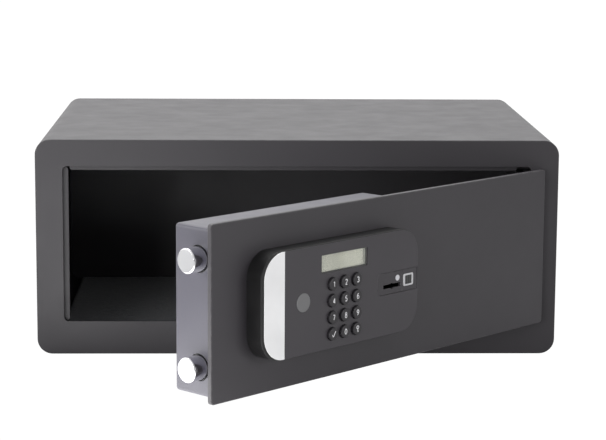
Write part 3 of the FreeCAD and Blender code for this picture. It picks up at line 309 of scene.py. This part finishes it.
def metalMaterial(slotName):
    # metal: noise stretched along the brushing, in gloss and bump, with brighter edges
    look = metalLook[slotName]
    material, add = newMaterial(slotName)
    place = doorPlace(add)
    stretched = add("Mapping", Vector=place, Scale=look["brush"]).outputs["Vector"]
    brush = noise(add, stretched, 1.0, 3.0)
    cloud = noise(add, place, 30.0, 3.0)
    wearAndHighlight, rounded = edgeMask(add, 0.0004, ranged(add, noise(add, place, 350.0, 4.0), 0.35, 0.6))
    colour = look["colour"]
    dull = tuple(c * 0.90 for c in colour) + (1.0,)
    bright = tuple(min(1.0, c * 1.08) for c in colour) + (1.0,)
    base = mixed(add, ranged(add, cloud, 0.3, 0.7), dull, colour + (1.0,))
    base = mixed(add, maths(add, "MULTIPLY", wearAndHighlight, 0.6), base, bright)
    rough = ranged(add, brush, 0.25, 0.75, look["rough"] * 0.8, look["rough"] * 1.2)
    bump = add("Bump", Height=brush, Strength=look["depth"], Distance=0.0003, Normal=rounded)
    finishSurface(add, base, rough, bump.outputs[0], Metallic=look.get("metal", 1.0))
    return material


smallLook = {
    "lamp_white": dict(colour=(0.64, 0.64, 0.68), rough=0.34, scale=900.0),
    "reset_plastic": dict(colour=(0.42, 0.030, 0.022), rough=0.36, scale=700.0),
    "ribbon_plastic": dict(colour=(0.70, 0.70, 0.66), rough=0.45, scale=500.0),
    "sensor_black": dict(colour=(0.006, 0.006, 0.007), rough=0.30, scale=1500.0, rib=0.0021, ribGrey=0.09),
    "cell_wrap": dict(colour=(0.06, 0.07, 0.10), rough=0.28, scale=300.0),
    "circuit_board": dict(colour=(0.012, 0.085, 0.030), rough=0.38, scale=420.0),
}


def smallMaterial(slotName):
    # small parts: a slow cloud in colour and a grain in gloss and bump
    look = smallLook[slotName]
    material, add = newMaterial(slotName)
    place = doorPlace(add)
    grain = noise(add, place, look["scale"], 3.0)
    cloud = noise(add, place, look["scale"] / 12, 2.0)
    dull = tuple(c * 0.86 for c in look["colour"]) + (1.0,)
    base = mixed(add, ranged(add, cloud, 0.3, 0.7), dull, look["colour"] + (1.0,))
    if slotName == "sensor_black":
        # fine ribs: one pale line in every rib pitch along the door
        across = maths(add, "DIVIDE", add("SeparateXYZ", Vector=place).outputs["X"], look["rib"])
        line = ranged(add, maths(add, "PINGPONG", across, 0.5), 0.30, 0.42)
        base = mixed(add, line, base, grey(look["ribGrey"]))
    rough = ranged(add, grain, 0.3, 0.7, look["rough"] - 0.05, look["rough"] + 0.06)
    bump = add("Bump", Height=grain, Strength=0.05, Distance=0.0003)
    finishSurface(add, base, rough, bump.outputs[0], IOR=1.5)
    return material


displayLook = {
    "glass": (0.60, 0.62, 0.58, 1.0),
    "veil": 0.12,
    "cell": (0.92, 0.925, 0.79, 1.0),
    "shade": (0.80, 0.805, 0.69, 1.0),
    # the grey band is painted shade standing in for the window's bevel
    "strip": (0.50, 0.505, 0.44, 1.0),
    "stripWidth": 0.0024,
    "border": (0.02, 0.02, 0.022, 1.0),
    "borderWidth": 0.0011,
    "dotPitch": 0.00062,
}


def displayGlassMaterial():
    # clear window: mostly let through, with smeared gloss
    material, add = newMaterial("display_glass")
    place = doorPlace(add)
    smear = noise(add, place, 90.0, 3.0)
    rough = ranged(add, smear, 0.35, 0.7, 0.03, 0.09)
    bump = add("Bump", Height=smear, Strength=0.02, Distance=0.0004)
    shader = add("BsdfPrincipled", Base_Color=displayLook["glass"], Roughness=rough,
                 Normal=bump.outputs[0], IOR=1.46, Alpha=displayLook["veil"])
    add("OutputMaterial", Surface=shader.outputs[0])
    return material


def displayCellMaterial():
    # pale cell with a faint dot grid; the edge within borderWidth of its box turns dark
    low, high = doorBox("lcd_window")
    centre, half = (low + high) / 2, (high - low) / 2
    material, add = newMaterial("display_cell")
    place = doorPlace(add)
    parts = add("SeparateXYZ", Vector=place)
    fromX = maths(add, "ABSOLUTE", maths(add, "SUBTRACT", parts.outputs["X"], centre[0]))
    fromZ = maths(add, "ABSOLUTE", maths(add, "SUBTRACT", parts.outputs["Z"], centre[2]))
    border = displayLook["borderWidth"]
    sideEdge = ranged(add, fromX, half[0] - border, half[0] - border * 0.6)
    tallEdge = ranged(add, fromZ, half[2] - border * 0.8, half[2] - border * 0.5)
    edge = maths(add, "MAXIMUM", sideEdge, tallEdge)
    dots = add("TexVoronoi", {"feature": "F1", "distance": "CHEBYCHEV"}, Vector=place,
               Scale=1.0 / displayLook["dotPitch"], Randomness=0.0).outputs["Distance"]
    dotShade = ranged(add, dots, 0.35, 0.5, 0.0, 0.18)
    cloud = ranged(add, noise(add, place, 40.0, 3.0), 0.3, 0.7, 0.0, 0.35)
    colour = mixed(add, maths(add, "ADD", dotShade, cloud), displayLook["cell"], displayLook["shade"])
    # painted shade: a grey band along the cell's right edge stands in for the window's bevel
    stripAt = high[0] - displayLook["stripWidth"] - border
    strip = ranged(add, parts.outputs["X"], stripAt - 0.0001, stripAt + 0.0001)
    colour = mixed(add, strip, colour, displayLook["strip"])
    colour = mixed(add, edge, colour, displayLook["border"])
    rough = ranged(add, dots, 0.0, 0.5, 0.30, 0.42)
    bump = add("Bump", Height=dots, Strength=0.02, Distance=0.0002)
    finishSurface(add, colour, rough, bump.outputs[0], IOR=1.5)
    return material


carpetLook = {
    "colour": (0.080, 0.085, 0.100, 1.0),
    "light": (0.200, 0.207, 0.230, 1.0),
    "step": 0.0026,
    "pile": 0.0009,
    "wave": 0.0004,
    "waveRate": (31, 27),
    "waveShift": (1.3, 0.4),
    "pileSpread": 0.9,
    "seed": 7,
    "holeWiden": 1.8,
    "thickness": 0.0018,
}


def carpetMaterial():
    # fibres and tufts in colour and bump, darker in slow clouds
    material, add = newMaterial("mat_fabric")
    place = plainPlace(add)
    fibre = noise(add, place, 900.0, 4.0, 0.7)
    tuft = noise(add, place, 210.0, 3.0, 0.6)
    cloud = noise(add, place, 9.0, 3.0)
    colour = mixed(add, ranged(add, fibre, 0.35, 0.75), carpetLook["colour"], carpetLook["light"])
    colour = mixed(add, ranged(add, cloud, 0.3, 0.7, 0.0, 0.4), colour, carpetLook["colour"])
    rough = ranged(add, tuft, 0.3, 0.7, 0.82, 0.96)
    bump = add("Bump", Height=maths(add, "ADD", fibre, tuft), Strength=0.7, Distance=0.0012)
    finishSurface(add, colour, rough, bump.outputs[0], IOR=1.45, Sheen_Weight=0.35,
                  Sheen_Roughness=0.5)
    return material


legendLook = {
    "colour": (0.80, 0.80, 0.82),
    "height": 0.0047,
    "stroke": 0.00038,
    "proud": 0.00006,
    "around": 10,
}


def legendMaterial():
    # printed ink, faded in worn patches
    material, add = newMaterial("key_legend_ink")
    place = doorPlace(add)
    grain = noise(add, place, 2600.0, 2.0)
    worn = noise(add, place, 700.0, 4.0)
    full = legendLook["colour"] + (1.0,)
    faded = tuple(c * 0.72 for c in legendLook["colour"]) + (1.0,)
    base = mixed(add, ranged(add, worn, 0.35, 0.6), faded, full)
    rough = ranged(add, grain, 0.3, 0.7, 0.40, 0.52)
    bump = add("Bump", Height=grain, Strength=0.05, Distance=0.0002)
    finishSurface(add, base, rough, bump.outputs[0], IOR=1.5)
    return material


def assignMaterials():
    # one material per slot of the record, put on every node that names it
    made = {}
    slotOf = {p["node"]: p["material_slot"] for p in frame["record"]["subparts"]}
    for slotName in sorted(set(slotOf.values())):
        if slotName in paintLook:
            made[slotName] = paintMaterial(slotName)
        elif slotName in plasticLook:
            made[slotName] = plasticMaterial(slotName)
        elif slotName in metalLook:
            made[slotName] = metalMaterial(slotName)
        elif slotName in smallLook:
            made[slotName] = smallMaterial(slotName)
    made["display_glass"] = displayGlassMaterial()
    made["display_cell"] = displayCellMaterial()
    made["mat_fabric"] = carpetMaterial()
    for node, slotName in slotOf.items():
        piece = nodes[node]
        if not piece.material_slots:
            piece.data.materials.append(made[slotName])
        for place in piece.material_slots:
            place.material = made[slotName]
    return made


materials = assignMaterials()
print("stage: materials made:", len(materials))


def buildCarpet():
    # z = top + pileSpread * pile * random + wave (sin(a x + b) sin(c y + d) - 1), flat at the rim;
    # points inside a hole move out to its circle, and the squares wholly inside go
    look = carpetLook
    rate, shift = look["waveRate"], look["waveShift"]
    low, high = cabinetBox("floor_mat")
    draws = np.random.default_rng(look["seed"])
    columns = int((high[0] - low[0]) / look["step"])
    rows = int((high[1] - low[1]) / look["step"])
    x, y = np.meshgrid(np.linspace(low[0], high[0], columns), np.linspace(low[1], high[1], rows),
                       indexing="ij")
    inner = np.ones_like(x)
    inner[[0, -1], :] = 0
    inner[:, [0, -1]] = 0
    top = high[2] - look["pile"]
    pile = draws.random(x.shape) * look["pile"] * look["pileSpread"] * inner
    wave = look["wave"] * np.sin(x * rate[0] + shift[0]) * np.sin(y * rate[1] + shift[1]) * inner
    z = top + pile + wave - look["wave"]
    inside = np.zeros(x.shape, bool)
    for hole in holePlaces():
        dx, dy = x - hole[0], y - hole[1]
        reach = np.hypot(dx, dy)
        within = reach < hole[2]
        scale = hole[2] / np.maximum(reach, 1e-9)
        x = np.where(within, hole[0] + dx * scale, x)
        y = np.where(within, hole[1] + dy * scale, y)
        inside |= within
    faces = gridFaces(columns, rows)
    faces = faces[~inside.reshape(-1)[faces].all(1)]
    points = np.stack([x, y, z], -1).reshape(-1, 3)
    carpet = addPiece("floor_carpet", points, faces, "cabinet", materials["mat_fabric"])
    solid = carpet.modifiers.new("thickness", "SOLIDIFY")
    solid.thickness = look["thickness"]
    solid.offset = -1
    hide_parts("floor_mat")
    return carpet


def holePlaces():
    # the base's fixing holes, widened as the mat's are
    mount = next(m for m in frame["record"]["mounts"] if m["name"] == "base_fixing")
    spanX = mount["dims"]["spacing_x_mm"] * millimetre / 2
    spanY = mount["dims"]["spacing_y_mm"] * millimetre / 2
    radius = carpetLook["holeWiden"] * mount["dims"]["hole_r_mm"] * millimetre
    return [(sx * spanX, sy * spanY, radius) for sx in (-1, 1) for sy in (-1, 1)]


carpet = buildCarpet()
print("stage: carpet laid")


def strokeSurface(path, halfWidth, halfHeight, closed):
    # P(s) + w(s) cos t N(s) across, h w(s) sin t up; w falls off as a circle at open ends
    around = legendLook["around"]
    step = np.roll(path, -1, 0) - np.roll(path, 1, 0) if closed else np.gradient(path, axis=0)
    along = step / np.linalg.norm(step, axis=1)[:, None]
    across = np.stack([-along[:, 1], along[:, 0]], -1)
    if closed:
        fall = np.ones(len(path))
    else:
        length = np.concatenate([[0], np.cumsum(np.linalg.norm(np.diff(path, axis=0), axis=1))])
        fromEnd = np.minimum(length, length[-1] - length) / halfWidth
        fall = np.sqrt(np.clip(1 - np.clip(1 - fromEnd, 0, 1) ** 2, 1e-4, 1))
    t = np.linspace(0, 2 * np.pi, around, endpoint=False)
    width = halfWidth * fall[:, None] * np.cos(t)[None]
    height = halfHeight * fall[:, None] * np.sin(t)[None]
    flat = path[:, None, :] + width[..., None] * across[:, None, :]
    points = np.concatenate([flat, height[..., None]], -1).reshape(-1, 3)
    faces = gridFaces(len(path), around, closed, True)
    if not closed:
        start, stop = len(points), len(points) + 1
        points = np.vstack([points, [*path[0], 0], [*path[-1], 0]])
        ring = np.arange(around)
        last = (len(path) - 1) * around
        caps = [np.stack([ring, np.roll(ring, -1), np.full(around, start)], -1)[:, ::-1],
                np.stack([last + ring, last + np.roll(ring, -1), np.full(around, stop)], -1)]
        return points, faces, np.vstack(caps)
    return points, faces, np.empty((0, 3), int)


def arcPath(centre, radii, fromDeg, toDeg, count=26):
    # centre + (rx cos a, ry sin a)
    angle = np.radians(np.linspace(fromDeg, toDeg, count))
    return np.stack([centre[0] + radii[0] * np.cos(angle), centre[1] + radii[1] * np.sin(angle)], -1)


def loopPath(centre, radii):
    # a whole ellipse, its last point left out
    return arcPath(centre, radii, 0, 360, 33)[:-1]


def linePath(start, end, count=12):
    # start (1 - s) + end s
    share = np.linspace(0, 1, count)[:, None]
    return np.array(start) * (1 - share) + np.array(end) * share


def glyphStrokes(name):
    # each stroke is (path, closed) in a cell one unit high; x runs right and y up
    low, top, mid = 0.05, 0.95, 0.5
    sixBowl = (loopPath((0.3, 0.30), (0.23, 0.25)), True)
    sixStem = (arcPath((0.50, 0.34), (0.43, 0.61), 96, 184), False)
    glyphs = {
        "1": [(linePath((0.14, 0.78), (0.36, top)), False), (linePath((0.36, top), (0.36, low)), False)],
        "2": [(arcPath((0.3, 0.70), (0.23, 0.25), 168, -28), False),
              (linePath((0.50, 0.58), (0.09, low)), False), (linePath((0.09, low), (0.54, low)), False)],
        "3": [(arcPath((0.27, 0.73), (0.22, 0.22), 150, -90), False),
              (arcPath((0.27, 0.28), (0.25, 0.23), 90, -150), False)],
        "4": [(linePath((0.41, low), (0.41, top)), False), (linePath((0.41, top), (0.06, 0.30)), False),
              (linePath((0.06, 0.30), (0.56, 0.30)), False)],
        "5": [(linePath((0.50, top), (0.15, top)), False), (linePath((0.15, top), (0.11, 0.55)), False),
              (arcPath((0.28, 0.32), (0.25, 0.27), 128, -146), False)],
        "6": [sixBowl, sixStem],
        "7": [(linePath((0.07, top), (0.53, top)), False), (linePath((0.53, top), (0.23, low)), False)],
        "8": [(loopPath((0.3, 0.745), (0.18, 0.2)), True), (loopPath((0.3, 0.285), (0.23, 0.235)), True)],
        "9": [(np.array([0.6, 1.0]) - path, closed) for path, closed in (sixBowl, sixStem)],
        "0": [(loopPath((0.3, mid), (0.24, 0.45)), True)],
        "enter": [(linePath((-0.14, 0.46), (0.17, 0.02)), False),
                  (linePath((0.17, 0.02), (0.78, 1.04)), False)],
        "lock": [(loopPath((0.3, 0.78), (0.26, 0.25)), True), (linePath((0.3, 0.53), (0.3, -0.04)), False),
                 (linePath((0.3, 0.02), (0.52, 0.02)), False), (linePath((0.3, 0.22), (0.48, 0.22)), False)],
    }
    return glyphs[name]


def buildLegend(name, material):
    # all strokes of one glyph, scaled and laid on the key's face
    low, high = doorBox("key_" + name)
    centre = (low + high) / 2
    scale = legendLook["height"]
    halfWidth = legendLook["stroke"] / scale
    halfHeight = legendLook["proud"] / scale
    points, quads, tris, count = [], [], [], 0
    for path, closed in glyphStrokes(name):
        p, q, t = strokeSurface(path, halfWidth, halfHeight, closed)
        points.append(p)
        quads += (q + count).tolist()
        tris += (t + count).tolist()
        count += len(p)
    flat = (np.vstack(points) - [0.3, 0.5, 0.0]) * scale
    # glyph x runs along the door, glyph y up, and the stroke's height out of the key's face
    placed = np.stack([centre[0] + flat[:, 0], low[1] - flat[:, 2], centre[2] + flat[:, 1]], -1)
    legend = addPiece("legend_" + name, placed, quads + tris, "button_" + name, material, doorTurn)
    return legend


legendInk = legendMaterial()
keyNames = [n[4:] for n in nodes if n.startswith("key_") and n != "key_mat"]
for keyName in sorted(keyNames):
    buildLegend(keyName, legendInk)
print("stage: key legends drawn:", len(keyNames))


studio = {
    "floorHalf": 9.0,
    "floorColour": (0.42, 0.42, 0.42, 1.0),
    "floorCloud": (0.46, 0.46, 0.46, 1.0),
    "floorGlow": 1.05,
    "lampTarget": (0.0, -0.15, 0.1),
    "spotPlace": (-0.24, -0.50, 0.0),
    "spotReach": 0.34,
    "spotLevel": 7.0,
    "skyAmbient": 0.13,
    "skyFront": 0.14,
    "skyBack": 1.02,
    "skyLeft": 1.00,
    "skyTop": 0.55,
}


def buildFloor():
    # a square under the cabinet: plain white when seen, grey paper with a soft bright patch as a light
    half = studio["floorHalf"]
    bottom = cadBox[0][2]
    mesh = bpy.data.meshes.new("studio_floor")
    corners = [(-half, -half, bottom), (half, -half, bottom), (half, half, bottom), (-half, half, bottom)]
    mesh.from_pydata(corners, [], [(0, 1, 2, 3)])
    material, add = newMaterial("studio_floor")
    soft = noise(add, plainPlace(add), 3.0, 2.0)
    colour = mixed(add, ranged(add, soft, 0.3, 0.7, 0.0, 0.1), studio["floorColour"],
                   studio["floorCloud"])
    # bounce = spotLevel * max(0, 1 - distance / spotReach) squared
    distance = add("VectorMath", {"operation": "DISTANCE"}, _0=plainPlace(add),
                   _1=studio["spotPlace"]).outputs["Value"]
    near = ranged(add, distance, 0.0, studio["spotReach"], 1.0, 0.0)
    bounce = maths(add, "MULTIPLY", maths(add, "POWER", near, 2.0), studio["spotLevel"])
    paper = add("BsdfPrincipled", Base_Color=colour, Roughness=0.9, Specular_IOR_Level=0.1,
                Emission_Color=(1, 1, 1, 1), Emission_Strength=bounce)
    glow = add("Emission", Color=(1, 1, 1, 1), Strength=studio["floorGlow"])
    seen = add("LightPath").outputs["Is Camera Ray"]
    both = add("MixShader", _0=seen, _1=paper.outputs[0], _2=glow.outputs[0])
    add("OutputMaterial", Surface=both.outputs[0])
    mesh.materials.append(material)
    floor = bpy.data.objects.new("studio_floor", mesh)
    bpy.context.collection.objects.link(floor)


def buildSky():
    # level = ambient + back max(y, 0) + left max(-x, 0)^2 + top max(z, 0) + front max(-y, 0)
    world = bpy.data.worlds.new("studio_sky")
    bpy.context.scene.world = world
    add = nodeAdder(world)
    parts = add("SeparateXYZ", Vector=add("TexCoord").outputs["Generated"])
    back = maths(add, "MAXIMUM", parts.outputs["Y"], 0.0)
    left = maths(add, "MAXIMUM", maths(add, "MULTIPLY", parts.outputs["X"], -1.0), 0.0)
    top = maths(add, "MAXIMUM", parts.outputs["Z"], 0.0)
    level = maths(add, "MULTIPLY", back, studio["skyBack"])
    leftSquare = maths(add, "POWER", left, 2.0)
    level = maths(add, "ADD", level, maths(add, "MULTIPLY", leftSquare, studio["skyLeft"]))
    level = maths(add, "ADD", level, maths(add, "MULTIPLY", top, studio["skyTop"]))
    front = maths(add, "MAXIMUM", maths(add, "MULTIPLY", parts.outputs["Y"], -1.0), 0.0)
    level = maths(add, "ADD", level, maths(add, "MULTIPLY", front, studio["skyFront"]))
    level = maths(add, "ADD", level, studio["skyAmbient"])
    seen = add("LightPath").outputs["Is Camera Ray"]
    level = mixed(add, seen, level, grey(studio["floorGlow"]))
    background = add("Background", Color=level, Strength=1.0)
    add("OutputWorld", Surface=background.outputs[0])


lamps = {
    "leftBox": dict(place=(-1.7, -0.75, 0.55), size=(1.3, 1.0), power=11.0),
    "topBox": dict(place=(-0.35, 0.35, 1.9), size=(1.8, 1.2), power=37.0),
    "rightBox": dict(place=(2.1, -1.4, 0.6), size=(1.2, 0.8), power=15.5),
    "frontBox": dict(place=(-1.1, -2.4, 0.42), size=(1.0, 0.7), power=15.0),
}


def buildLamp(name, look):
    # a soft rectangle aimed at the middle of the safe
    data = bpy.data.lights.new(name, "AREA")
    data.shape = "RECTANGLE"
    data.size, data.size_y = look["size"]
    data.energy = look["power"]
    lamp = bpy.data.objects.new(name, data)
    bpy.context.collection.objects.link(lamp)
    target = Vector(studio["lampTarget"])
    place = Vector(look["place"])
    lamp.location = place
    lamp.rotation_euler = (target - place).to_track_quat("-Z", "Y").to_euler()
    lamp.visible_camera = False


viewpoint = {
    "place": (-0.0502, -2.0144, 0.4362),
    "yawDeg": 1.721,
    "pitchDeg": 9.568,
    "rollDeg": 0.359,
    "lens": 120.55,
    "sensor": 36.0,
}


def buildCamera():
    # forward = (sin yaw cos pitch, cos yaw cos pitch, -sin pitch), then a small roll
    yaw, pitch, roll = (math.radians(viewpoint[k]) for k in ("yawDeg", "pitchDeg", "rollDeg"))
    forward = Vector((math.sin(yaw) * math.cos(pitch), math.cos(yaw) * math.cos(pitch), -math.sin(pitch)))
    level = Vector((math.cos(yaw), -math.sin(yaw), 0.0))
    upright = level.cross(forward)
    right = level * math.cos(roll) + upright * math.sin(roll)
    up = right.cross(forward)
    data = bpy.data.cameras.new("view_camera")
    data.lens = viewpoint["lens"]
    data.sensor_width = viewpoint["sensor"]
    data.sensor_fit = "HORIZONTAL"
    data.clip_end = 60.0
    camera = bpy.data.objects.new("view_camera", data)
    bpy.context.collection.objects.link(camera)
    turn = Matrix((right, up, -forward)).transposed().to_4x4()
    camera.matrix_world = Matrix.Translation(Vector(viewpoint["place"])) @ turn
    bpy.context.scene.camera = camera


buildFloor()
buildSky()
for lampName, lampLook in lamps.items():
    buildLamp(lampName, lampLook)
buildCamera()
bpy.context.scene.view_settings.view_transform = "Standard"
print("stage: studio ready")
